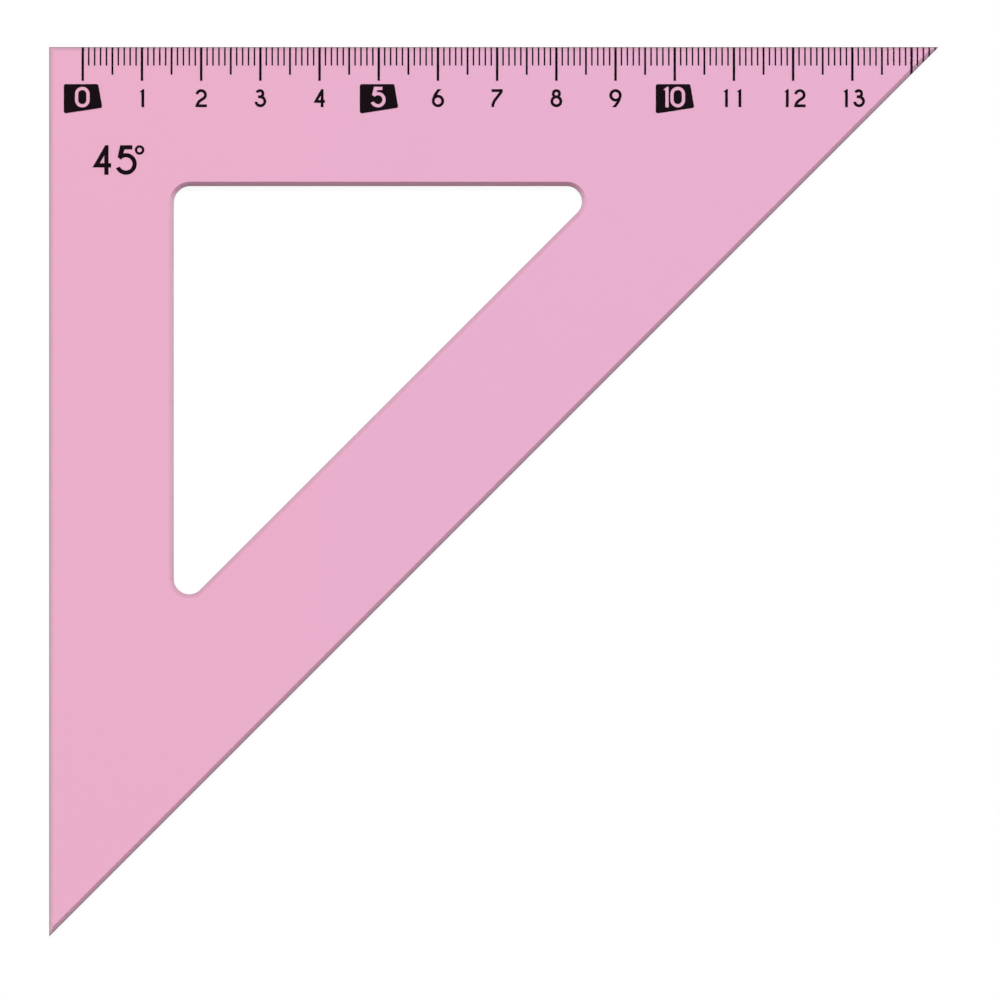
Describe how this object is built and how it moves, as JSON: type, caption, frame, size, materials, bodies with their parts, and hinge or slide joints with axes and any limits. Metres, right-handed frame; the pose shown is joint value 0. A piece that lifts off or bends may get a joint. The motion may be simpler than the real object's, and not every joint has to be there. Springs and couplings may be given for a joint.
{
  "type": "drafting triangle",
  "caption": "Right-angled isosceles drafting triangle of tinted plastic, with a triangular window, bevelled edges and a printed centimetre scale along one leg.",
  "frame": {"origin": "outer right-angle corner, on the underside", "axes": "+X along the graduated leg, -Y along the plain leg, +Z out of the printed face"},
  "size_m": [0.1503, 0.1503, 0.002],
  "materials": {
    "tinted_plastic": "glossy moulded plastic, tinted pink",
    "black_ink": "thin printed layer of black ink"
  },
  "bodies": {
    "root": {"angle_mark": "black_ink", "centimetre_ticks": "black_ink", "flag_0": "black_ink", "flag_10": "black_ink", "flag_5": "black_ink", "half_centimetre_ticks": "black_ink", "millimetre_ticks": "black_ink", "numeral_1": "black_ink", "numeral_11": "black_ink", "numeral_12": "black_ink", "numeral_13": "black_ink", "numeral_2": "black_ink", "numeral_3": "black_ink", "numeral_4": "black_ink", "numeral_6": "black_ink", "numeral_7": "black_ink", "numeral_8": "black_ink", "numeral_9": "black_ink", "plate": "tinted_plastic"}
  },
  "joints": []
}
